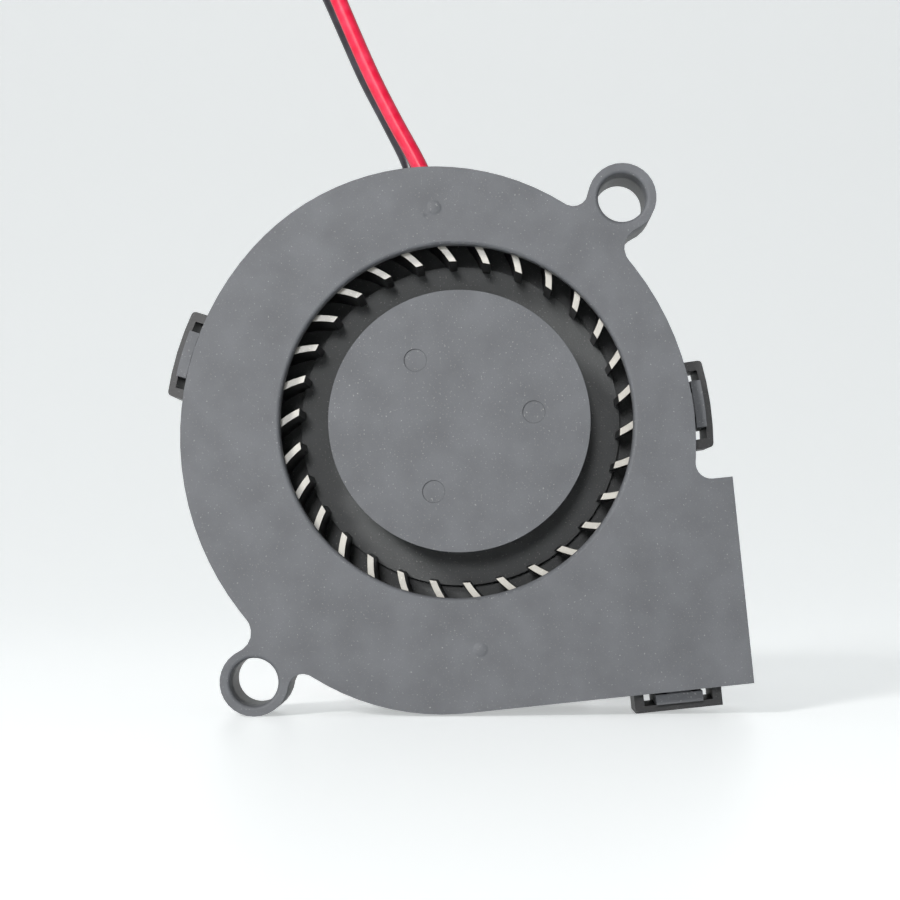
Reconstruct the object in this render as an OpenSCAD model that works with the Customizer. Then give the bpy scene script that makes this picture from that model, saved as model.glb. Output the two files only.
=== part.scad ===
// Direct-current radial blower, 51 x 51 x 15 mm, standing on its edge.
// Every piece is drawn lying on its back, with the scroll's centre on the Z axis, the rear
// face at z = 0 and the inlet face at z = depth, and place() then stands it up.

/* [Housing] */
// Depth of the blower from its rear face to its inlet face
depth = 15; // [14:0.5:18]
// Thickness of the rear plate
rear_plate = 1.2; // [1:0.1:1.5]
// Thickness of the cover plate round the inlet
cover_plate = 1.4; // [1.2:0.1:1.6]
// Depth of the cover's rim, which is also the thickness of its half of an ear
cover_rim = 2.6; // [2.2:0.1:3]
// Thickness of the scroll's wall
wall = 1.2; // [1:0.1:1.4]
// Radius of the round inlet
inlet_r = 16.5; // [15.5:0.1:16.8]
// Distance from the scroll's centre to the outlet's edge
outlet_x = 25; // [24.6:0.1:27]
// Height of the outlet's upper edge, measured from the scroll's centre
outlet_top = -7.8; // [-8.5:0.1:-7.5]
// Radius of the hollow where the scroll meets the outlet's upper edge
notch_r = 1.45; // [1.2:0.05:1.8]
// How far the blower is turned on the surface that it stands on, in degrees
tilt = 6; // [0:1:12]

/* [Mounting ears] */
// Radius of an ear
ear_r = 3.2; // [3:0.1:3.6]
// Radius of the hole through an ear
ear_bore_r = 2.25; // [1.6:0.05:2.3]
// Length of an ear along its hole
ear_length = 7.5; // [6:0.5:9]
// Radius of the hollow on an ear's right or left, where it meets the flatter arc
ear_hollow_r = 1.9; // [1.5:0.1:2.2]
// Radius of the hollow on an ear's other side
ear_fillet_r = 1.4; // [1:0.1:1.6]

/* [Snap loops] */
// How far a loop stands out from the wall
loop_out = 2; // [1.8:0.1:2.2]
// Length of a loop along the wall
loop_len = 8.3; // [7.8:0.1:8.6]
// Length of the cover's tongue that goes through a loop
tongue_len = 4.4; // [3.6:0.1:4.8]

/* [Impeller] */
// Number of blades
blades = 30; // [24:1:34]
// Radius of the circle on which the blades' inner edges lie
blade_in_r = 15.1; // [14.6:0.1:15.3]
// Radius of the circle on which the blades' outer edges lie
blade_out_r = 19.2; // [18.6:0.1:19.4]
// Thickness of a blade
blade_t = 0.6; // [0.5:0.05:0.8]
// Outer radius of the hub
hub_r = 12.25; // [12.1:0.05:12.5]
// Height of the disc that carries the blades, measured from the rear face
web_z = 5.6; // [5:0.1:6]
// Turn of the impeller at rest, in degrees
impeller_turn = 4; // [0:1:11]

/* [Motor] */
// Radius of the shaft
shaft_r = 1; // [0.9:0.05:1]
// Gap all round between the shaft and its bearing
shaft_gap = 0.03; // [0.02:0.01:0.06]
// Gap between the stator's poles and the magnet
air_gap = 0.4; // [0.3:0.05:0.5]
// Number of poles of the stator
poles = 4; // [4:2:4]
// Thickness of the stack of laminations
stack_t = 3.6; // [3:0.1:3.8]

/* [Leads] */
// Diameter of a lead over its insulation
lead_d = 1.6; // [1.4:0.1:1.6]
// Radius at the middle of a coil's turns
coil_r = 9.2; // [9:0.1:9.4]

/* [Hidden] */
$fn = 96;

// Where the scroll's centre stands: the corner of the outlet reaches as far to the right of
// the origin as the left loop does to its left, and the lowest points rest on the surface.
axis_x = -0.3;
axis_height = 27.5;
// The shaft stands a little beside the centre of the inlet, towards the outlet.
shaft_x = 0.25;

// The scroll's outline is four arcs, each one tangent to the next. The first one's centre is
// given, and the others follow from the radii and from the directions where the arcs meet.
arc_r = [27, 22.8, 26.4, 22.7];
arc_start = [-4.93, -1.81];
arc_from = [asin((outlet_top + notch_r - arc_start[1]) / (arc_r[0] + notch_r)), 44, 132, 231, 270];
function way(angle) = [cos(angle), sin(angle)];
function arc_centre(i) = i == 0 ? arc_start
    : arc_centre(i - 1) + (arc_r[i - 1] - arc_r[i]) * way(arc_from[i]);
scroll_bottom = arc_centre(3)[1] - arc_r[3];
notch = arc_start + (arc_r[0] + notch_r) * way(arc_from[0]);

wall_top = depth - cover_rim;
cover_under = depth - cover_plate;
ears = [[[17.5, 19.1], 0, 1], [[-21.3, -22.2], 2, 3]];
round_loops = [[2, 157.1], [0, 2.4]];
straight_loop_x = 18.1;
loop_bar = 0.65;
loop_end = 0.9;
loop_corner = 0.4;
loop_low = 5;
loop_high = depth - 3.6;
tongue_t = 0.95;
tongue_gap = 0.3;
tongue_high = depth - 1.8;
barb_out = 0.4;
barb_h = 1;

lead_angle = 92.5;
lead_slot_w = 3.8;
lead_slot_z = [0.45, 3.6];

hub_top = depth - 0.4;
hub_low = 3.6;
cap_t = 1;
web_t = 1;
blade_low = 3.2;
blade_high = depth - 2;
blade_bow_r = 9.3;
blade_bow_at = 13.2;
end_ring_h = 1;
end_ring_past = 0.15;
yoke_r = 11.3;
yoke_t = 0.55;
yoke_low = 4.2;
magnet_t = 1.05;
magnet_z = [4.6, 11.6];
magnet_in_r = yoke_r - yoke_t - magnet_t;
boss_r = 2.1;
boss_low = 11.7;
boss_high = hub_top - 0.5;

tube_r = 3;
tube_in_r = 2.3;
tube_z = [0.6, 10.8];
seat_r = 4;
seat_high = 3;
bearing_z = [3.4, 10.2];
pad_t = 0.6;
clip_z = [2.4, 2.7];
groove_r = 0.7;

pole_r = magnet_in_r - air_gap;
core_z = 5.7;
core_hub_r = 4.4;
neck_w = 2.6;
shoe_t = 1.1;
pole_span = 72;
film_t = 0.5;
coil_in_r = 4.7;
coil_out_r = 7.2;
coil_w = 2.1;
coil_h = 1.3;

board_z = 1.9;
board_t = 0.8;
board_r = 9.2;
board_top = board_z + board_t;
pin_at = 5.2;
pin_w = 0.5;
pin_out = 0.4;
joint_at = 8.3;
joint_r = 0.6;
lead_apart = 1.7;
lead_from = 9.4;

// The leads' routes, from the board through the channel and the wall, up and over in an
// arch, and down behind the blower to the coils. Each coil is two turns and a quarter.
red_route = [
    [-0.9, 5.3, 37], [-1.2, 5.9, 39.4], [-1.8, 6.2, 43.4], [-2.4, 6, 47.4], [-3.1, 5.4, 50.8],
    [-4.3, 5.2, 53.7], [-6.6, 5.2, 57.9], [-8.7, 5.2, 62], [-10.5, 5.2, 66], [-12.2, 5.2, 70],
    [-13.6, 5.3, 73.4], [-15.1, 6.5, 77], [-16.1, 9.4, 79.9], [-16.5, 13.5, 81], [-16.1, 17.6, 79.9],
    [-15.1, 20.6, 77], [-13.6, 21.7, 73.5], [-11.9, 21.8, 69.6], [-10, 21.8, 65.4], [-7.7, 21.8, 61],
    [-5.6, 21.7, 56.6], [-4.6, 21.4, 52], [-4.5, 20.8, 47], [-4.9, 20, 41.8], [-5.6, 19, 36.5],
    [-6.3, 18, 31.3], [-7, 16.9, 26.3], [-7.7, 16, 21.6], [-8.1, 15.7, 17.6], [-8.2, 16.7, 14],
    [-8.2, 18.9, 11.4], [-8.2, 21.6, 10.4], [-8.2, 24, 10.2]
];
black_route = [
    [-2.6, 5.3, 36.7], [-2.9, 5.9, 39.2], [-3.5, 6.2, 43.2], [-4.1, 6.2, 47.1], [-4.6, 6.2, 50.9],
    [-5.2, 6.7, 53.9], [-7.2, 6.8, 58], [-9.4, 6.8, 62.2], [-11.2, 6.8, 66.2], [-12.9, 6.8, 70.1],
    [-14.2, 7, 73.3], [-15.3, 8.1, 76.1], [-16.1, 10.4, 78.3], [-16.4, 13.4, 79.2],
    [-16, 16.4, 78.2], [-15.1, 18.9, 75.9], [-13.7, 19.9, 72.9], [-11.9, 20, 69], [-10, 20, 64.9],
    [-7.7, 20, 60.7], [-5.6, 19.9, 56.3], [-4.6, 19.6, 51.7], [-4.5, 18.9, 46.6], [-4.8, 18, 41],
    [-5.4, 16.8, 35], [-6.2, 15.5, 29], [-6.9, 14.2, 23.2], [-7.6, 13.1, 17.8], [-8.1, 12.7, 13],
    [-8.2, 13.4, 9.2], [-8.2, 15.5, 6.3], [-8.2, 18.5, 5], [-8.2, 24, 4.9]
];
// From the coils to the connector.
red_tail = [
    [1, 33.2, 6.6], [4, 33.2, 6.6], [7, 33.2, 6.3], [10, 32.8, 5], [13, 32.2, 3.5],
    [15.8, 31.95, 2.9], [18.5, 31.95, 2.9]
];
black_tail = [
    [1, 33.2, 1.2], [4.5, 33.2, 1.2], [8, 33.5, 1.5], [11.5, 34.2, 2.4], [15, 34.45, 2.9],
    [18.5, 34.45, 2.9]
];
lead_sides = 8;
coil_at = [1, 24];
tie_t = 0.4;
coil_high = 5.3;
coil_clear = 0.05;
plug_at = [15.5, 33.2];
plug_size = [9.5, 7.4, 5.8];
plug_pitch = 2.5;
plug_cavity = 2;

// Stands a piece up on its edge, with the inlet facing -Y.
module place() {
    translate([axis_x, 0, axis_height]) rotate([90, 0, 0]) rotate([0, 0, tilt])
        translate([0, 0, -depth / 2]) children();
}

// As place(), for the pieces that stand round the shaft.
module on_shaft() { place() translate([shaft_x, 0, 0]) children(); }

module ring(outer_r, inner_r, z) {
    translate([0, 0, z[0]]) linear_extrude(z[1] - z[0])
        difference() { circle(outer_r); circle(inner_r); }
}

module disc(r, z) { translate([0, 0, z[0]]) cylinder(r = r, h = z[1] - z[0]); }

module sector(r, from, to) {
    intersection() {
        circle(r);
        polygon([[0, 0], 2 * r * way(from), 2 * r * way((from + to) / 2), 2 * r * way(to)]);
    }
}

// ---- the scroll's outline ----

// The angles between a and b that are whole multiples of s, in the order from a to b.
function between(a, b, s) = b > a ? [for (i = [floor(a / s) + 1 : 1 : ceil(b / s) - 1]) i * s]
    : [for (i = [ceil(a / s) - 1 : -1 : floor(b / s) + 1]) i * s];

// Points along an arc from angle a up to, but without, angle b.
function arc(c, r, a, b, s = 4) = [for (t = concat([a], between(a, b, s))) c + r * way(t)];

function heading(from, to) = atan2(to[1] - from[1], to[0] - from[0]);
function after(a, b) = b < a ? after(a, b + 360) : b - a >= 360 ? after(a, b - 360) : b;
function before(a, b) = after(a, b) - 360;

// Where two circles meet, on the left (side = 1) or right (side = -1) of the line a-b.
function meet(a, ra, b, rb, side) =
    let (d = norm(b - a), u = (b - a) / d, x = (d * d + ra * ra - rb * rb) / (2 * d),
         y = sqrt(ra * ra - x * x))
    a + x * u + side * y * [-u[1], u[0]];

// An ear is [its centre, the arc before it, the arc after it]. A hollow's centre lies where
// the hollow touches both the ear and an arc: k = 1 for the arc before, 2 for the one after.
function fillet(k) = k == 1 ? ear_hollow_r : ear_fillet_r;
function hollow(e, k) = meet(e[0], ear_r + fillet(k), arc_centre(e[k]),
    arc_r[e[k]] + fillet(k), k == 1 ? 1 : -1);
function meets_at(e, k) = after(-20, heading(arc_centre(e[k]), hollow(e, k)));

function hollow_path(c, r, from, to) =
    let (a = heading(c, from)) arc(c, r, a, before(a, heading(c, to)), 20);

function ear_path(e) =
    let (f1 = hollow(e, 1), f2 = hollow(e, 2), a = heading(e[0], f1))
    concat(hollow_path(f1, fillet(1), arc_centre(e[1]), e[0]),
           arc(e[0], ear_r, a, after(a, heading(e[0], f2)), 12),
           hollow_path(f2, fillet(2), e[0], arc_centre(e[2])));

// The stretch of arc i between two angles, moved inwards by inset.
function run(i, from, to, inset) = arc(arc_centre(i), arc_r[i] - inset, from, to);

function outlet_path(inset, past) =
    let (low = scroll_bottom + inset)
    concat([[arc_centre(3)[0], low], [outlet_x + past, low], [outlet_x + past, outlet_top - inset]],
           arc(notch, notch_r + inset, 270, 180 + arc_from[0], 15));

// The outline without ears, moved inwards by inset and run on past the outlet's edge by past.
module scroll(inset = 0, past = 0) {
    polygon(concat([for (i = [0 : 3]) each run(i, arc_from[i], arc_from[i + 1], inset)],
                   outlet_path(inset, past)));
}

module eared_scroll() {
    polygon(concat(
        run(0, arc_from[0], meets_at(ears[0], 1), 0), ear_path(ears[0]),
        run(1, meets_at(ears[0], 2), arc_from[2], 0), run(2, arc_from[2], meets_at(ears[1], 1), 0),
        ear_path(ears[1]), run(3, meets_at(ears[1], 2), arc_from[4], 0), outlet_path(0, 0)));
}

module ear_bores() {
    for (e = ears) translate(concat(e[0], [-1])) cylinder(r = ear_bore_r, h = depth + 2);
}

// ---- snap loops and tongues ----

// The point at the height y on a circle of radius r round the origin.
function bulge(r, y) = [sqrt(r * r - y * y), y];

// The upper outer corner of a strip of the height 2 * half, rounded with the radius c.
function strip_corner(r, half, c) = c == 0 ? [bulge(r, half)]
    : [for (t = [90 : -30 : 0]) bulge(r - c, half - c) + c * way(t)];

// A strip of the wall's outside with parallel ends, from in to out beyond its face and long
// along it, at a round loop, which is [its arc, its direction].
module on_arc(loop, in, out, long, corner) {
    r = arc_r[loop[0]];
    half = long / 2;
    upper = strip_corner(r + out, half, corner);
    translate(arc_centre(loop[0])) rotate([0, 0, loop[1]]) polygon(concat(
        [for (k = [-2 : 2]) bulge(r + in, k * half / 2)], upper,
        [for (k = [1 : -1 : -1]) bulge(r + out, k * half / 2)],
        [for (i = [len(upper) - 1 : -1 : 0]) [upper[i][0], -upper[i][1]]]));
}

// The same below the outlet, where the wall is flat.
module on_flat(in, out, long) {
    translate([straight_loop_x - long / 2, scroll_bottom - out]) square([long, out - in]);
}

module at_loops(in, out, long, corner = 0) {
    for (l = round_loops) on_arc(l, in, out, long, corner);
    on_flat(in, out, long);
}

module snap_loops() {
    translate([0, 0, loop_low]) linear_extrude(loop_high - loop_low) difference() {
        at_loops(-wall / 2, loop_out, loop_len, loop_corner);
        at_loops(-wall / 4, loop_out - loop_bar, loop_len - 2 * loop_end);
    }
}

module tongues() {
    out = tongue_gap + tongue_t;
    barb_low = loop_low - 0.1 - barb_h;
    translate([0, 0, barb_low]) linear_extrude(tongue_high - barb_low)
        at_loops(tongue_gap, out, tongue_len);
    translate([0, 0, barb_low]) linear_extrude(barb_h)
        at_loops(out - 0.1, out + barb_out, tongue_len);
    translate([0, 0, wall_top + 0.2]) linear_extrude(tongue_high - wall_top - 0.4)
        at_loops(-wall / 2, tongue_gap + 0.1, tongue_len / 2);
}

// ---- housing ----

module base_housing() {
    post_r = 0.8;
    color([0.16, 0.16, 0.17]) place() {
        difference() {
            union() {
                linear_extrude(depth - ear_length) scroll();
                translate([0, 0, depth - ear_length]) linear_extrude(ear_length - cover_rim)
                    eared_scroll();
                snap_loops();
            }
            translate([0, 0, rear_plate]) linear_extrude(depth) scroll(wall, 1);
            ear_bores();
            translate([shaft_x, 0, 0]) disc(tube_r, [tube_z[0], depth]);
            // the bare round that the rear face has, three ejector marks and the lead slot
            translate([shaft_x, 0, -1]) cylinder(r = 10.5, h = 1.3);
            for (a = [20 : 120 : 260]) translate([14.5 * cos(a), 14.5 * sin(a), -1]) cylinder(r = 1.1, h = 1.15);
            rotate([0, 0, lead_angle]) translate([6, -lead_slot_w / 2, lead_slot_z[0]])
                cube([25, lead_slot_w, lead_slot_z[1] - lead_slot_z[0]]);
        }
        translate([shaft_x, 0, 0]) {
            difference() {
                disc(seat_r, [rear_plate - 0.2, seat_high]);
                disc(tube_r, [tube_z[0], seat_high + 1]);
            }
            for (a = [30 : 120 : 270]) rotate([0, 0, a]) translate([7.8, 0, rear_plate - 0.2])
                cylinder(r = post_r, h = board_z - rear_plate + 0.2);
        }
    }
}

// A round shallow mark with a pip in its middle, as an ejector pin leaves it.
module pin_mark(at) {
    translate([at[0], at[1], depth - 0.2]) rotate_extrude()
        polygon([[0, 0.12], [0.45, 0.12], [0.75, 0], [1.1, 0], [1.4, 0.2], [1.4, 1], [0, 1]]);
}

module front_cover() {
    lip = 0.35;
    color([0.42, 0.43, 0.45]) place() difference() {
        union() {
            translate([0, 0, wall_top]) linear_extrude(cover_rim) eared_scroll();
            tongues();
            // the rib that centres the cover in the scroll
            translate([0, 0, wall_top - 0.8]) linear_extrude(1) difference() {
                scroll(wall + 0.08);
                scroll(wall + 0.8, 1);
                translate([outlet_x - 1, scroll_bottom]) square([2, 30]);
            }
        }
        translate([0, 0, wall_top - 0.1]) linear_extrude(cover_rim - cover_plate + 0.1)
            scroll(wall + 0.8, 1);
        translate([0, 0, wall_top - 1]) cylinder(r = inlet_r, h = cover_rim + 2);
        // soft lips round the inlet and the ears' holes
        translate([0, 0, depth]) rotate_extrude() translate([inlet_r + lip, -lip]) difference() {
            translate([-lip - 0.5, 0]) square([lip + 0.5, lip + 0.5]);
            circle(lip);
        }
        ear_bores();
        for (e = ears) translate(concat(e[0], [depth])) rotate_extrude()
            translate([ear_bore_r + lip, -lip]) difference() {
                translate([-lip - 0.5, 0]) square([lip + 0.5, lip + 0.5]);
                circle(lip);
            }
        pin_mark([0, 20]);
        pin_mark([0, -21.4]);
    }
}

// ---- impeller ----

module blade_ring() {
    for (i = [0 : blades - 1]) rotate([0, 0, i * 360 / blades + impeller_turn]) intersection() {
        difference() { circle(blade_out_r); circle(blade_in_r); }
        translate([blade_bow_at, 0]) difference() {
            circle(blade_bow_r + blade_t / 2);
            circle(blade_bow_r - blade_t / 2);
        }
        translate([0, -30]) square([30, 30]);
    }
}

module impeller() {
    mark = 0.12;
    color([0.3, 0.31, 0.33]) on_shaft() difference() {
        union() {
            disc(hub_r, [hub_low, hub_top]);
            disc(blade_in_r + 0.4, [web_z - web_t, web_z]);
            ring(blade_out_r + end_ring_past, blade_in_r - end_ring_past, [blade_low, blade_low + end_ring_h]);
            translate([0, 0, blade_low + end_ring_h / 2]) linear_extrude(blade_high - blade_low - end_ring_h / 2)
                blade_ring();
        }
        disc(yoke_r, [hub_low - 1, hub_top - cap_t]);
        disc(boss_r, [hub_low - 1, boss_high]);
        for (a = [120, 1, 244]) translate([7 * cos(a), 7 * sin(a), hub_top - mark]) cylinder(r = 1.05, h = 1);
    }
}

module rotor_yoke() {
    top = hub_top - cap_t;
    color([0.62, 0.63, 0.65]) on_shaft() difference() {
        disc(yoke_r, [yoke_low, top]);
        disc(yoke_r - yoke_t, [yoke_low - 1, top - yoke_t]);
        disc(boss_r, [yoke_low, top + 1]);
    }
}

module ring_magnet() { color([0.2, 0.19, 0.19]) on_shaft() ring(yoke_r - yoke_t, magnet_in_r, magnet_z); }

module shaft_boss() { color([0.78, 0.62, 0.3]) on_shaft() ring(boss_r, shaft_r, [boss_low, boss_high]); }

module shaft() {
    low = tube_z[0] + pad_t + shaft_gap;
    tip = 0.3;
    color([0.8, 0.8, 0.82]) on_shaft() difference() {
        union() {
            disc(shaft_r, [low + tip, boss_high]);
            translate([0, 0, low]) cylinder(r1 = shaft_r - tip, r2 = shaft_r, h = tip);
        }
        ring(shaft_r + 1, groove_r, clip_z);
    }
}

module retaining_clip() {
    color([0.7, 0.7, 0.72]) on_shaft() translate([0, 0, clip_z[0]])
        linear_extrude(clip_z[1] - clip_z[0]) difference() {
            circle(1.9);
            circle(groove_r);
            translate([0, -0.5]) square([3, 1]);
        }
}

// ---- bearing ----

module bearing_tube() { color([0.8, 0.66, 0.34]) on_shaft() ring(tube_r, tube_in_r, tube_z); }

module sleeve_bearing() { color([0.66, 0.5, 0.3]) on_shaft() ring(tube_in_r, shaft_r + shaft_gap, bearing_z); }

module thrust_pad() { color([0.9, 0.88, 0.8]) on_shaft() disc(tube_in_r, [tube_z[0], tube_z[0] + pad_t]); }

module oil_washer() { color([0.85, 0.85, 0.82]) on_shaft() ring(tube_in_r, shaft_r + 0.15, [bearing_z[1], bearing_z[1] + 0.4]); }

// ---- stator ----

// One pole's outline: neck and shoe, as wide as extra allows.
module pole(extra = 0) {
    translate([tube_r + 0.5, -neck_w / 2 - extra]) square([pole_r - tube_r - 1, neck_w + 2 * extra]);
    difference() {
        sector(pole_r, -pole_span / 2, pole_span / 2);
        circle(pole_r - shoe_t);
    }
}

module at_poles() { for (i = [0 : poles - 1]) rotate([0, 0, 45 + i * 360 / poles]) children(); }

module stator_outline(extra = 0) {
    difference() {
        union() {
            circle(core_hub_r);
            at_poles() pole(extra);
        }
        circle(tube_r);
    }
}

module stator_core() {
    color([0.55, 0.56, 0.58]) on_shaft() translate([0, 0, core_z]) linear_extrude(stack_t) stator_outline();
}

// The plastic that lines one face of the stack, with the collar round the tube and the
// flange that holds each coil in.
module insulator(thick, collar) {
    linear_extrude(thick) stator_outline(0.3);
    linear_extrude(collar) difference() { circle(core_hub_r); circle(tube_r); }
    linear_extrude(coil_h + thick) at_poles() difference() {
        sector(pole_r - 1, -24, 24);
        translate([0, -pole_r]) square([coil_out_r + 0.1, 2 * pole_r]);
    }
}

module upper_insulator() {
    color([0.86, 0.84, 0.76]) on_shaft() translate([0, 0, core_z + stack_t]) insulator(film_t, coil_h);
}

module lower_insulator() {
    color([0.86, 0.84, 0.76]) on_shaft() translate([0, 0, core_z]) mirror([0, 0, 1])
        insulator(film_t, core_z - seat_high);
}

module stator_coils() {
    long = coil_out_r - coil_in_r;
    in_w = neck_w + 0.6;
    in_h = stack_t + 2 * film_t;
    color([0.72, 0.38, 0.18]) on_shaft() translate([0, 0, core_z + stack_t / 2]) at_poles()
        translate([coil_in_r, 0, 0]) rotate([90, 0, 90]) linear_extrude(long) difference() {
            intersection() {
                square([in_w + 2 * coil_w, in_h + 2 * coil_h], center = true);
                rotate(45) square(7.6, center = true);
            }
            square([in_w, in_h], center = true);
        }
}

// Square pins that take the winding's ends down to the board.
module winding_pins() {
    low = board_z - pin_out;
    color([0.8, 0.78, 0.7]) on_shaft() translate([0, 0, low]) linear_extrude(core_z - film_t - low)
        at_pins() square(pin_w, center = true);
}

// ---- electronics ----

module at_pins() { for (a = [0, 90, 180, 270]) rotate(a) translate([pin_at, 0]) children(); }

// The notches in the board's edge in which the leads' bared ends lie.
module at_joints() { for (k = [-1, 1]) rotate(lead_angle) translate([joint_at, k * lead_apart / 2]) children(); }

module circuit_board() {
    color([0.2, 0.42, 0.28]) difference() {
        on_shaft() translate([0, 0, board_z]) linear_extrude(board_t) difference() {
            circle(board_r);
            circle(seat_r + 0.1);
            at_pins() square(pin_w + 0.1, center = true);
        }
        place() translate([0, 0, board_z - 1]) linear_extrude(board_t + 2) at_joints() {
            circle(joint_r);
            translate([0, -0.3]) square([3, 0.6]);
        }
    }
}

module hall_sensor() {
    color([0.12, 0.12, 0.12]) on_shaft() rotate([0, 0, 0]) translate([7.1, -1.5, board_top]) cube([1.6, 3, 1.1]);
}

module driver_chip() {
    color([0.1, 0.1, 0.1]) on_shaft() rotate([0, 0, 270]) translate([6.2, -1.45, board_top]) cube([1.6, 2.9, 1.1]);
}

module filter_capacitor() {
    color([0.72, 0.6, 0.42]) on_shaft() rotate([0, 0, 180]) translate([6.6, -0.6, board_top]) cube([2, 1.2, 0.9]);
}

module chip_resistors() {
    color([0.15, 0.15, 0.17]) on_shaft() for (a = [205, 335]) rotate([0, 0, a])
        translate([7.2, -0.5, board_top]) cube([0.6, 1, 0.35]);
}

// The winding pins' joints under the board, and the leads' bared ends with theirs.
module solder_joints() {
    color([0.75, 0.76, 0.78]) {
        on_shaft() translate([0, 0, board_z - 0.3]) linear_extrude(0.3) at_pins() difference() {
            circle(0.6);
            square(pin_w, center = true);
        }
        place() {
            translate([0, 0, board_z]) linear_extrude(board_t + 0.3) at_joints() circle(joint_r);
            translate([0, 0, board_z + 0.3]) at_joints() rotate([0, 90, 0])
                cylinder(r = 0.25, h = lead_from - joint_at);
        }
    }
}

// ---- leads ----

function unit(v) = v / norm(v);
function along(p, i) = unit(p[min(i + 1, len(p) - 1)] - p[max(i - 1, 0)]);

// A ring of points round a route, square to it. across is a direction it never follows.
function ring_at(p, i, across) =
    let (t = along(p, i), u = unit(cross(across, t)), v = cross(t, u))
    [for (k = [0 : lead_sides - 1]) let (a = k * 360 / lead_sides)
        p[i] + lead_d / 2 * (cos(a) * u + sin(a) * v)];

module tube(p, across) {
    n = lead_sides;
    last = (len(p) - 1) * n;
    polyhedron(
        points = [for (i = [0 : len(p) - 1]) each ring_at(p, i, across)],
        faces = concat(
            [[for (k = [0 : n - 1]) k]],
            [for (i = [0 : len(p) - 2], k = [0 : n - 1])
                let (a = i * n + k, b = i * n + (k + 1) % n) each [[a, a + n, b + n], [a, b + n, b]]],
            [[for (k = [n - 1 : -1 : 0]) last + k]]));
}

module lead(route, tail) {
    tube(route, [1, 0, 0]);
    tube(tail, [0, 0, 1]);
}

// The ring that a coil's turns fill, with its lowest turn at height z.
module coil(z) {
    translate(concat(coil_at, [z])) rotate_extrude()
        translate([coil_r - lead_d / 2, 0]) square([lead_d, coil_high]);
}

module red_lead() { color([0.85, 0.08, 0.16]) lead(red_route, red_tail); }

module black_lead() { color([0.1, 0.1, 0.1]) lead(black_route, black_tail); }

module red_coil() { color([0.85, 0.08, 0.16]) coil(tie_t + coil_high + coil_clear); }

module black_coil() { color([0.1, 0.1, 0.1]) coil(tie_t); }

// A strap round both coils, with the head that its end is pulled through.
module lead_tie() {
    strap_w = 2;
    inner = [lead_d + 0.2, 2 * coil_high + coil_clear + 0.1];
    head = [1.8, 2.8, 2.6];
    color([0.1, 0.1, 0.1]) translate([coil_at[0] + coil_r, coil_at[1], tie_t]) {
        rotate([90, 0, 0]) linear_extrude(strap_w, center = true) difference() {
            translate([-inner[0] / 2 - tie_t, -tie_t]) square(inner + 2 * [tie_t, tie_t]);
            translate([-inner[0] / 2, 0]) square(inner);
        }
        translate([inner[0] / 2 + tie_t, -head[1] / 2, 3]) cube(head);
    }
}

// The places of the connector's ways, on its middle line.
module at_ways() {
    for (k = [-1, 1]) translate([plug_at[0], plug_at[1] + k * plug_pitch / 2, plug_size[2] / 2]) children();
}

module connector_housing() {
    rib = [7, 0.9, 0.6];
    mouth = 1.1;
    color([0.9, 0.9, 0.88]) difference() {
        union() {
            translate([plug_at[0], plug_at[1] - plug_size[1] / 2, 0]) cube(plug_size - [0, 0, rib[2]]);
            for (k = [-1, 1]) translate([plug_at[0] + plug_size[0] - rib[0],
                plug_at[1] + k * 1.9 - rib[1] / 2, plug_size[2] - rib[2] - 0.1]) cube(rib + [0, 0, 0.1]);
        }
        at_ways() {
            translate([-1, -plug_cavity / 2, -plug_cavity / 2]) cube([plug_size[0], plug_cavity, plug_cavity]);
            translate([0, -mouth / 2, -mouth / 2]) cube([plug_size[0] + 1, mouth, mouth]);
            // the window that a terminal's barb catches in
            translate([5, -0.6, 0]) cube([1.8, 1.2, plug_size[2]]);
        }
    }
}

module crimp_terminals() {
    t = 0.25;
    box = plug_cavity - 0.3;
    from = red_tail[6][0] - plug_at[0];
    color([0.8, 0.78, 0.7]) at_ways() difference() {
        translate([from, -box / 2, -box / 2]) cube([plug_size[0] - from - 1.2, box, box]);
        translate([from + t, -box / 2 + t, -box / 2 + t]) cube([plug_size[0], box - 2 * t, box - 2 * t]);
    }
}

base_housing();
front_cover();
bearing_tube();
sleeve_bearing();
thrust_pad();
oil_washer();
stator_core();
upper_insulator();
lower_insulator();
stator_coils();
winding_pins();
circuit_board();
hall_sensor();
driver_chip();
filter_capacitor();
chip_resistors();
solder_joints();
impeller();
rotor_yoke();
ring_magnet();
shaft_boss();
shaft();
retaining_clip();
red_lead();
black_lead();
red_coil();
black_coil();
lead_tie();
connector_housing();
crimp_terminals();
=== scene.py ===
import math

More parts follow.
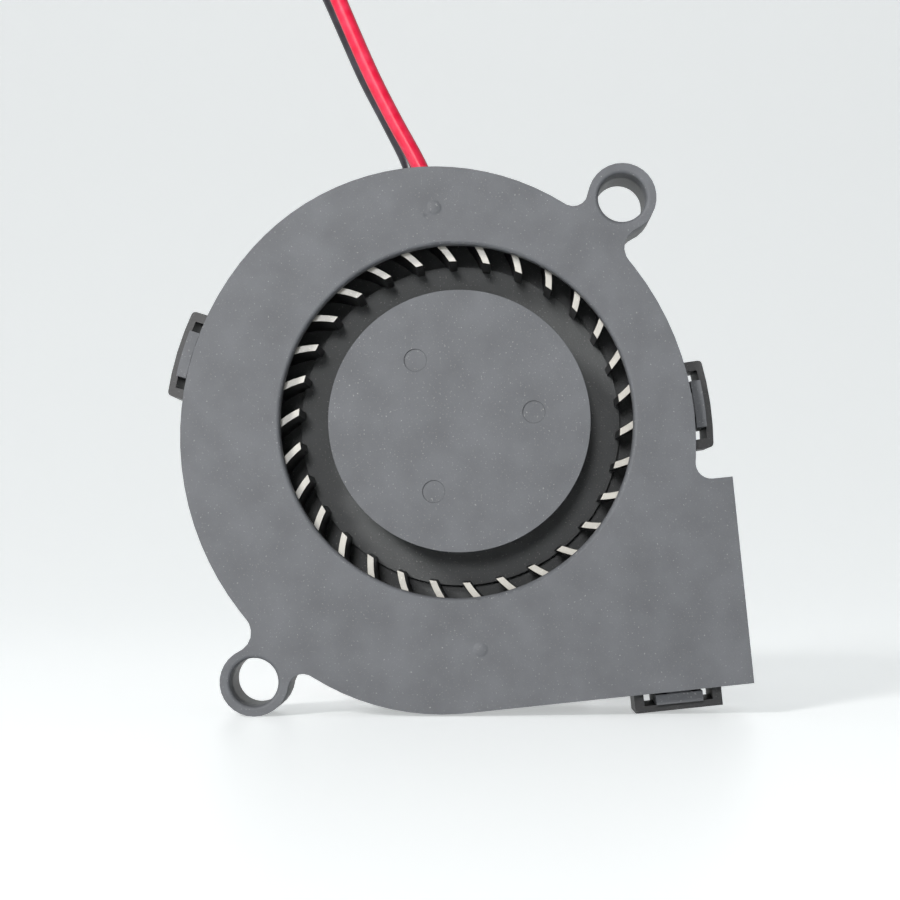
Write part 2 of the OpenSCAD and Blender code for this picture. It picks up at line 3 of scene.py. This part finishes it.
import bmesh
import bpy
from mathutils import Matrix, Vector


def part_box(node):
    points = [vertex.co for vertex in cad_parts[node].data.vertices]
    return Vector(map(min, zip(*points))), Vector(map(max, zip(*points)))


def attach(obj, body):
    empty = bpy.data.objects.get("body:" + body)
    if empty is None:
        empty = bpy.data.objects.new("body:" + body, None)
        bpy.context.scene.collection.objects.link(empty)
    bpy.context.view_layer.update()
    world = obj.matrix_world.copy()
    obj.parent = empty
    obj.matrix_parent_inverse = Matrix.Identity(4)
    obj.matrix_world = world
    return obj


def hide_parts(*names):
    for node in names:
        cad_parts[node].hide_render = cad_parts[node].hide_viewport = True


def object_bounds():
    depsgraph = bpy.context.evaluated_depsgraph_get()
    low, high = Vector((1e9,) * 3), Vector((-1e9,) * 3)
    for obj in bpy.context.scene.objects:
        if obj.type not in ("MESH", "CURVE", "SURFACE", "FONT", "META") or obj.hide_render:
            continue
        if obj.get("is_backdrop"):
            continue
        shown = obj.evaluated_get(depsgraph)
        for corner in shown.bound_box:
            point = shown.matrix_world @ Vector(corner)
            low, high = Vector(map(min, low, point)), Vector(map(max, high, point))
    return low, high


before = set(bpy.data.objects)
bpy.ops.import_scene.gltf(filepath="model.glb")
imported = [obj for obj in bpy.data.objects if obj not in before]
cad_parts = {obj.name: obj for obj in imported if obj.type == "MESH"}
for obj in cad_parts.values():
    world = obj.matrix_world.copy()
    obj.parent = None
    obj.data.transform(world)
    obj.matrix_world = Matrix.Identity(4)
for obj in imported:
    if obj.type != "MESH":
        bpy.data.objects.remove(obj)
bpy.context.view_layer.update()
scene = bpy.context.scene
scene.view_settings.view_transform = "Standard"

# ---- camera ----
# The blower is seen from 20 cm in front of its inlet, square on, with the lens a little
# above the table. The lens is shifted up, so that the inlet face keeps its true shape.
MM = 0.001
FRONT_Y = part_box("front_cover")[0][1]

camera = bpy.data.objects.new("camera", bpy.data.cameras.new("camera"))
scene.collection.objects.link(camera)
scene.camera = camera
camera.data.sensor_width = 36
camera.data.lens = 86
camera.data.clip_start = 0.01
camera.data.clip_end = 20
camera.data.shift_x = -0.042
camera.data.shift_y = 0.104
camera.location = (2.6 * MM, FRONT_Y - 0.2, 16.1 * MM)
camera.rotation_euler = (math.radians(90), 0, 0)

# ---- leads ----
# Two stranded copper leads in smooth extruded insulation, red and black. They are soldered to
# the motor's board, leave through a hole in the scroll's wall side by side, and their spare
# length is wound into a coil each, one on the other, behind the blower.
LEAD_D = 1.6 * MM
COIL_AT = (1, 24)
COIL_R = 9.2
COIL_TURNS = 2.25
RED_ROUTE = [
    (-0.9, 5.3, 37), (-1.2, 5.9, 39.4), (-1.8, 6.2, 43.4), (-2.4, 6, 47.4), (-3.1, 5.4, 50.8),
    (-4.3, 5.2, 53.7), (-6.6, 5.2, 57.9), (-8.7, 5.2, 62), (-10.5, 5.2, 66), (-12.2, 5.2, 70),
    (-13.6, 5.3, 73.4), (-15.1, 6.5, 77), (-16.1, 9.4, 79.9), (-16.5, 13.5, 81), (-16.1, 17.6, 79.9),
    (-15.1, 20.6, 77), (-13.6, 21.7, 73.5), (-11.9, 21.8, 69.6), (-10, 21.8, 65.4), (-7.7, 21.8, 61),
    (-5.6, 21.7, 56.6), (-4.6, 21.4, 52), (-4.5, 20.8, 47), (-4.9, 20, 41.8), (-5.6, 19, 36.5),
    (-6.3, 18, 31.3), (-7, 16.9, 26.3), (-7.7, 16, 21.6), (-8.1, 15.7, 17.6), (-8.2, 16.7, 14),
    (-8.2, 18.9, 11.4), (-8.2, 21.6, 10.4)
]
BLACK_ROUTE = [
    (-2.6, 5.3, 36.7), (-2.9, 5.9, 39.2), (-3.5, 6.2, 43.2), (-4.1, 6.2, 47.1), (-4.6, 6.2, 50.9),
    (-5.2, 6.7, 53.9), (-7.2, 6.8, 58), (-9.4, 6.8, 62.2), (-11.2, 6.8, 66.2), (-12.9, 6.8, 70.1),
    (-14.2, 7, 73.3), (-15.3, 8.1, 76.1), (-16.1, 10.4, 78.3), (-16.4, 13.4, 79.2),
    (-16, 16.4, 78.2), (-15.1, 18.9, 75.9), (-13.7, 19.9, 72.9), (-11.9, 20, 69), (-10, 20, 64.9),
    (-7.7, 20, 60.7), (-5.6, 19.9, 56.3), (-4.6, 19.6, 51.7), (-4.5, 18.9, 46.6), (-4.8, 18, 41),
    (-5.4, 16.8, 35), (-6.2, 15.5, 29), (-6.9, 14.2, 23.2), (-7.6, 13.1, 17.8), (-8.1, 12.7, 13),
    (-8.2, 13.4, 9.2), (-8.2, 15.5, 6.3), (-8.2, 18.5, 5)
]
RED_TAIL = [
    (4, 33.2, 6.6), (7, 33.2, 6.3), (10, 32.8, 5), (13, 32.2, 3.5), (15.8, 31.95, 2.9),
    (18.5, 31.95, 2.9)
]
BLACK_TAIL = [
    (4.5, 33.2, 1.2), (8, 33.5, 1.5), (11.5, 34.2, 2.4), (15, 34.45, 2.9), (18.5, 34.45, 2.9)
]


def coil_points(top, bottom):
    """The turns of one coil, wound clockwise from its left side down to its back."""
    count = int(COIL_TURNS * 24)
    points = []
    for step in range(count + 1):
        along = step / count
        angle = math.pi - 2 * math.pi * COIL_TURNS * along
        points.append((COIL_AT[0] + COIL_R * math.cos(angle), COIL_AT[1] + COIL_R * math.sin(angle),
                       top + (bottom - top) * along))
    return points


def smooth_line(points, parts):
    """A line through points that bends evenly, with parts pieces between two of them, in metres."""
    ends = [points[0], *points, points[-1]]
    line = []
    for a, b, c, d in zip(ends, ends[1:], ends[2:], ends[3:]):
        a, b, c, d = Vector(a), Vector(b), Vector(c), Vector(d)
        for k in range(parts):
            t = k / parts
            line.append(MM * 0.5 * (2 * b + (c - a) * t + (2 * a - 5 * b + 4 * c - d) * t * t
                                    + (3 * b - a - 3 * c + d) * t ** 3))
    line.append(MM * Vector(points[-1]))
    return line


def tube_mesh(name, line, radius, sides):
    """A closed tube along line, whose rings turn as little as they can."""
    mesh = bmesh.new()
    side = Vector((1, 0, 0))
    rings = []
    for i, at in enumerate(line):
        ahead = (line[min(i + 1, len(line) - 1)] - line[max(i - 1, 0)]).normalized()
        side = (side - ahead * side.dot(ahead)).normalized()
        up = ahead.cross(side)
        rings.append([mesh.verts.new(at + radius * (math.cos(a) * side + math.sin(a) * up))
                      for a in (2 * math.pi * k / sides for k in range(sides))])
    for low, high in zip(rings, rings[1:]):
        for k in range(sides):
            mesh.faces.new((low[k], low[(k + 1) % sides], high[(k + 1) % sides], high[k])).smooth = True
    mesh.faces.new(list(reversed(rings[0])))
    mesh.faces.new(rings[-1])
    data = bpy.data.meshes.new(name)
    mesh.to_mesh(data)
    mesh.free()
    piece = bpy.data.objects.new(name, data)
    scene.collection.objects.link(piece)
    return piece


def new_material(name):
    """An empty material with its shader, and its nodes."""
    material = bpy.data.materials.new(name)
    material.use_nodes = True
    nodes = material.node_tree.nodes
    return material, nodes, material.node_tree.links, nodes["Principled BSDF"]


def insulation(name, colour, dust):
    """Smooth extruded insulation that has picked up a little dust and handling."""
    material, nodes, links, shader = new_material(name)
    where = nodes.new("ShaderNodeTexCoord")
    grime = nodes.new("ShaderNodeTexNoise")
    grime.inputs["Scale"].default_value = 900
    grime.inputs["Detail"].default_value = 6
    links.new(where.outputs["Object"], grime.inputs["Vector"])
    tint = nodes.new("ShaderNodeValToRGB")
    tint.color_ramp.elements[0].position = 0.35
    tint.color_ramp.elements[0].color = (*colour, 1)
    tint.color_ramp.elements[1].position = 0.8
    tint.color_ramp.elements[1].color = (*dust, 1)
    links.new(grime.outputs["Fac"], tint.inputs["Fac"])
    links.new(tint.outputs["Color"], shader.inputs["Base Color"])
    gloss = nodes.new("ShaderNodeMapRange")
    gloss.inputs["To Min"].default_value = 0.25
    gloss.inputs["To Max"].default_value = 0.42
    links.new(grime.outputs["Fac"], gloss.inputs["Value"])
    links.new(gloss.outputs["Result"], shader.inputs["Roughness"])
    bump = nodes.new("ShaderNodeBump")
    bump.inputs["Strength"].default_value = 0.15
    bump.inputs["Distance"].default_value = 0.03 * MM
    links.new(grime.outputs["Fac"], bump.inputs["Height"])
    links.new(bump.outputs["Normal"], shader.inputs["Normal"])
    return material


lead_facts = {
    "red": (RED_ROUTE, RED_TAIL, 10.25, (0.86, 0.006, 0.05), (0.95, 0.05, 0.12)),
    "black": (BLACK_ROUTE, BLACK_TAIL, 4.9, (0.018, 0.014, 0.02), (0.05, 0.045, 0.06)),
}
for colour, (route, tail, top, plain, dust) in lead_facts.items():
    line = smooth_line([*route, *coil_points(top, top - 3.7), *tail], 4)
    lead = tube_mesh(colour + "_lead_run", line, LEAD_D / 2, 16)
    lead.data.materials.append(insulation(colour + "_insulation", plain, dust))
    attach(lead, "housing")
    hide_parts(colour + "_lead", colour + "_coil")


# ---- connector and tie ----
# The leads end in tinned crimp terminals, pushed into a two-way nylon housing, and a black
# nylon strap holds the coils.
def give(node, material):
    """The material takes the place of the one that the node came with."""
    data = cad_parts[node].data
    data.materials.clear()
    data.materials.append(material)


def moulded(name, colour, fleck, fleck_share, roughness, grain=0.05, scale=1.0):
    """Matt moulded plastic: cloudy, with a fine grain and pale flecks of filler."""
    material, nodes, links, shader = new_material(name)
    where = nodes.new("ShaderNodeTexCoord")
    cloud = nodes.new("ShaderNodeTexNoise")
    cloud.inputs["Scale"].default_value = 260 * scale
    cloud.inputs["Detail"].default_value = 5
    flecks = nodes.new("ShaderNodeTexNoise")
    flecks.inputs["Scale"].default_value = 5200 * scale
    flecks.inputs["Detail"].default_value = 3
    for texture in (cloud, flecks):
        links.new(where.outputs["Object"], texture.inputs["Vector"])
    shade = nodes.new("ShaderNodeValToRGB")
    shade.color_ramp.elements[0].position = 0.3
    shade.color_ramp.elements[0].color = (*(0.86 * c for c in colour), 1)
    shade.color_ramp.elements[1].position = 0.7
    shade.color_ramp.elements[1].color = (*(1.12 * c for c in colour), 1)
    links.new(cloud.outputs["Fac"], shade.inputs["Fac"])
    where_flecks = nodes.new("ShaderNodeValToRGB")
    where_flecks.color_ramp.elements[0].position = 0.68 - fleck_share
    where_flecks.color_ramp.elements[0].color = (0, 0, 0, 1)
    where_flecks.color_ramp.elements[1].position = 0.78 - fleck_share
    where_flecks.color_ramp.elements[1].color = (1, 1, 1, 1)
    links.new(flecks.outputs["Fac"], where_flecks.inputs["Fac"])
    mix = nodes.new("ShaderNodeMix")
    mix.data_type = "RGBA"
    mix.inputs["B"].default_value = (*fleck, 1)
    links.new(shade.outputs["Color"], mix.inputs["A"])
    links.new(where_flecks.outputs["Color"], mix.inputs["Factor"])
    links.new(mix.outputs["Result"], shader.inputs["Base Color"])
    shader.inputs["Roughness"].default_value = roughness
    bump = nodes.new("ShaderNodeBump")
    bump.inputs["Strength"].default_value = 0.4
    bump.inputs["Distance"].default_value = grain * MM
    links.new(flecks.outputs["Fac"], bump.inputs["Height"])
    links.new(bump.outputs["Normal"], shader.inputs["Normal"])
    return material


def worn_metal(name, colour, roughness, scale):
    """Plain metal with fine drawing marks."""
    material, nodes, links, shader = new_material(name)
    where = nodes.new("ShaderNodeTexCoord")
    marks = nodes.new("ShaderNodeTexNoise")
    marks.inputs["Scale"].default_value = scale
    marks.inputs["Detail"].default_value = 8
    links.new(where.outputs["Object"], marks.inputs["Vector"])
    tint = nodes.new("ShaderNodeValToRGB")
    tint.color_ramp.elements[0].color = (*(0.8 * c for c in colour), 1)
    tint.color_ramp.elements[1].color = (*colour, 1)
    links.new(marks.outputs["Fac"], tint.inputs["Fac"])
    links.new(tint.outputs["Color"], shader.inputs["Base Color"])
    shader.inputs["Metallic"].default_value = 1
    gloss = nodes.new("ShaderNodeMapRange")
    gloss.inputs["To Min"].default_value = roughness - 0.08
    gloss.inputs["To Max"].default_value = roughness + 0.1
    links.new(marks.outputs["Fac"], gloss.inputs["Value"])
    links.new(gloss.outputs["Result"], shader.inputs["Roughness"])
    return material


give("connector_housing", moulded("natural_nylon", (0.78, 0.76, 0.7), (0.86, 0.85, 0.8), 0.02, 0.5))
give("crimp_terminals", worn_metal("tinned_brass", (0.78, 0.76, 0.7), 0.3, 3000))
give("lead_tie", moulded("black_nylon", (0.02, 0.02, 0.021), (0.05, 0.05, 0.052), 0.02, 0.45))

# ---- motor ----
# The bearing tube stands on the rear plate with an oiled bronze sleeve in it. Round it sit the
# laminated stator with its enamelled windings, and below that the board that drives it.
give("bearing_tube", worn_metal("turned_brass", (0.78, 0.6, 0.3), 0.3, 2500))
give("sleeve_bearing", worn_metal("sintered_bronze", (0.56, 0.36, 0.2), 0.45, 6000))
give("thrust_pad", moulded("pad_nylon", (0.8, 0.78, 0.68), (0.86, 0.85, 0.8), 0.02, 0.4))
give("oil_washer", moulded("washer_nylon", (0.78, 0.77, 0.72), (0.86, 0.85, 0.8), 0.02, 0.4))
give("stator_core", worn_metal("lamination_steel", (0.5, 0.51, 0.53), 0.4, 4000))
give("upper_insulator", moulded("insulator_plastic", (0.74, 0.71, 0.6), (0.82, 0.8, 0.7), 0.02, 0.5))
give("lower_insulator", bpy.data.materials["insulator_plastic"])
give("circuit_board", moulded("solder_mask", (0.03, 0.2, 0.08), (0.06, 0.3, 0.13), 0.02, 0.3))
give("hall_sensor", moulded("chip_epoxy", (0.02, 0.02, 0.021), (0.06, 0.06, 0.06), 0.02, 0.4))
give("driver_chip", bpy.data.materials["chip_epoxy"])
give("chip_resistors", bpy.data.materials["chip_epoxy"])
give("filter_capacitor", moulded("fired_ceramic", (0.42, 0.3, 0.17), (0.5, 0.38, 0.24), 0.02, 0.5))
give("solder_joints", worn_metal("solder", (0.74, 0.75, 0.77), 0.25, 2000))
give("winding_pins", worn_metal("tinned_pin", (0.76, 0.75, 0.72), 0.3, 3000))


def winding(name):
    """Enamelled copper wire laid turn by turn."""
    material, nodes, links, shader = new_material(name)
    where = nodes.new("ShaderNodeTexCoord")
    turns = nodes.new("ShaderNodeTexWave")
    turns.bands_direction = "DIAGONAL"
    turns.inputs["Scale"].default_value = 900
    turns.inputs["Distortion"].default_value = 0.6
    links.new(where.outputs["Object"], turns.inputs["Vector"])
    tint = nodes.new("ShaderNodeValToRGB")
    tint.color_ramp.elements[0].color = (0.22, 0.06, 0.02, 1)
    tint.color_ramp.elements[1].color = (0.68, 0.27, 0.1, 1)
    links.new(turns.outputs["Fac"], tint.inputs["Fac"])
    links.new(tint.outputs["Color"], shader.inputs["Base Color"])
    shader.inputs["Metallic"].default_value = 0.8
    shader.inputs["Roughness"].default_value = 0.3
    bump = nodes.new("ShaderNodeBump")
    bump.inputs["Distance"].default_value = 0.08 * MM
    links.new(turns.outputs["Fac"], bump.inputs["Height"])
    links.new(bump.outputs["Normal"], shader.inputs["Normal"])
    return material


give("stator_coils", winding("enamelled_copper"))

# ---- rotor ----
# A drawn steel yoke with a bonded ring magnet is pressed into the impeller's hub, and the
# ground shaft stands in a brass boss in the middle of it.
give("rotor_yoke", worn_metal("drawn_steel", (0.58, 0.59, 0.61), 0.35, 2500))
give("ring_magnet", moulded("bonded_ferrite", (0.05, 0.047, 0.047), (0.1, 0.1, 0.1), 0.04, 0.55))
give("shaft_boss", bpy.data.materials["turned_brass"])
give("shaft", worn_metal("ground_steel", (0.8, 0.8, 0.82), 0.12, 5000))
give("retaining_clip", bpy.data.materials["pad_nylon"])


# ---- housing, cover and impeller ----
# Glass-filled black plastic. Its fine-textured faces, the cover's and the hub's, scatter light
# and look grey; the smooth ones look black. The blades' tips are painted pale as a painted
# highlight, and the web between hub and blades is painted darker as painted shade.
def softened(node, name, width):
    """A copy of a node with its edges rounded, which stands for it."""
    mesh = bmesh.new()
    mesh.from_mesh(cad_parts[node].data)
    bmesh.ops.remove_doubles(mesh, verts=mesh.verts, dist=2e-6)
    bmesh.ops.dissolve_limit(mesh, angle_limit=math.radians(0.5), verts=mesh.verts, edges=mesh.edges)
    for face in mesh.faces:
        face.smooth = True
    data = bpy.data.meshes.new(name)
    mesh.to_mesh(data)
    mesh.free()
    piece = bpy.data.objects.new(name, data)
    scene.collection.objects.link(piece)
    rounding = piece.modifiers.new("rounding", "BEVEL")
    rounding.width = width
    rounding.segments = 2
    rounding.limit_method = "ANGLE"
    rounding.angle_limit = math.radians(35)
    flatness = piece.modifiers.new("flatness", "WEIGHTED_NORMAL")
    flatness.weight = 100
    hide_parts(node)
    return piece


GREY = (0.13, 0.136, 0.148)
FLECK = (0.3, 0.3, 0.3)
cover = softened("front_cover", "cover_moulding", 0.12 * MM)
cover.data.materials.append(moulded("grey_plastic", GREY, FLECK, 0.05, 0.6))
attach(cover, "housing")

housing = softened("base_housing", "housing_moulding", 0.12 * MM)
housing.data.materials.append(moulded("black_plastic", (0.03, 0.03, 0.032), (0.1, 0.1, 0.1), 0.03, 0.45))
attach(housing, "housing")

impeller = softened("impeller", "impeller_moulding", 0.08 * MM)
impeller.data.materials.append(moulded("impeller_smooth", (0.02, 0.02, 0.021), (0.05, 0.05, 0.05), 0.02, 0.35))
impeller.data.materials.append(moulded("impeller_textured", GREY, FLECK, 0.05, 0.6))
# Painted shade: the web deep in the impeller's well is coloured darker than the hub's face.
impeller.data.materials.append(moulded("impeller_web_painted_shade", (0.06, 0.064, 0.066), (0.2, 0.2, 0.2), 0.05, 0.5))
# Painted highlight: the blades' tips get a pale colour where they catch the light.
impeller.data.materials.append(moulded("blade_tip_painted_highlight", (0.55, 0.53, 0.48), (0.7, 0.68, 0.62), 0.05, 0.3, 0.01))
front = min(face.center.y for face in impeller.data.polygons)
for face in impeller.data.polygons:
    if face.normal.y < -0.9:
        deep = face.center.y - front
        # Front faces by depth: the hub's face is grey, the blades' tips behind it get the painted highlight,
        # and the deeper web gets the painted shade.
        face.material_index = 1 if deep < 0.3 * MM else 3 if deep < 2.5 * MM else 2
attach(impeller, "rotor")

# ---- table, backdrop and light ----
# The blower stands on a pale smooth table that sweeps up into a pale backdrop. The key light
# comes from the upper left, and a smaller light beside the camera catches the blades' tips.
SWEEP_FROM, SWEEP_R = 0.25, 0.45
sweep = [(-1.2, 0), (0, 0)]
sweep += [(SWEEP_FROM + SWEEP_R * math.sin(turn), SWEEP_R * (1 - math.cos(turn)))
          for turn in (math.radians(5 * k) for k in range(19))]
sweep.append((SWEEP_FROM + SWEEP_R, 1.6))
stage_mesh = bmesh.new()
edges = [[stage_mesh.verts.new((x, y, z)) for x in (-1.6, 1.6)] for y, z in sweep]
for low, high in zip(edges, edges[1:]):
    stage_mesh.faces.new((low[0], low[1], high[1], high[0])).smooth = True
table_data = bpy.data.meshes.new("table")
stage_mesh.to_mesh(table_data)
stage_mesh.free()
table = bpy.data.objects.new("table", table_data)
material, nodes, links, shader = new_material("table_white")
shader.inputs["Base Color"].default_value = (0.85, 0.87, 0.88, 1)
shader.inputs["Roughness"].default_value = 0.4
shader.inputs["Emission Color"].default_value = (0.97, 1, 1, 1)
ray = nodes.new("ShaderNodeLightPath")
seen = nodes.new("ShaderNodeMath")
seen.operation = "MAXIMUM"
links.new(ray.outputs["Is Camera Ray"], seen.inputs[0])
links.new(ray.outputs["Is Glossy Ray"], seen.inputs[1])
seen_through = nodes.new("ShaderNodeMath")
seen_through.operation = "MAXIMUM"
links.new(seen.outputs["Value"], seen_through.inputs[0])
links.new(ray.outputs["Is Transmission Ray"], seen_through.inputs[1])
level = nodes.new("ShaderNodeMath")
level.operation = "MULTIPLY"
level.inputs[1].default_value = 0.45
links.new(seen_through.outputs["Value"], level.inputs[0])
links.new(level.outputs["Value"], shader.inputs["Emission Strength"])
table_data.materials.append(material)
scene.collection.objects.link(table)
table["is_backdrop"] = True

world = bpy.data.worlds.new("room")
scene.world = world
world.use_nodes = True
world.node_tree.nodes["Background"].inputs["Color"].default_value = (0.95, 0.98, 1, 1)
world.node_tree.nodes["Background"].inputs["Strength"].default_value = 0.2


def soft_light(name, at, size, power, colour):
    """A round lamp that shines at the blower."""
    lamp = bpy.data.lights.new(name, "AREA")
    lamp.shape = "DISK"
    lamp.size = size
    lamp.energy = power
    lamp.color = colour
    holder = bpy.data.objects.new(name, lamp)
    scene.collection.objects.link(holder)
    holder.location = at
    holder.rotation_euler = (Vector((0, 0, 0.0275)) - Vector(at)).to_track_quat("-Z", "Y").to_euler()


soft_light("key", (-0.28, -0.47, 0.27), 0.12, 2.5, (1, 0.99, 0.97))
soft_light("front", (-0.05, -0.6, 0.11), 0.08, 0.9, (1, 1, 1))

low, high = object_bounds()
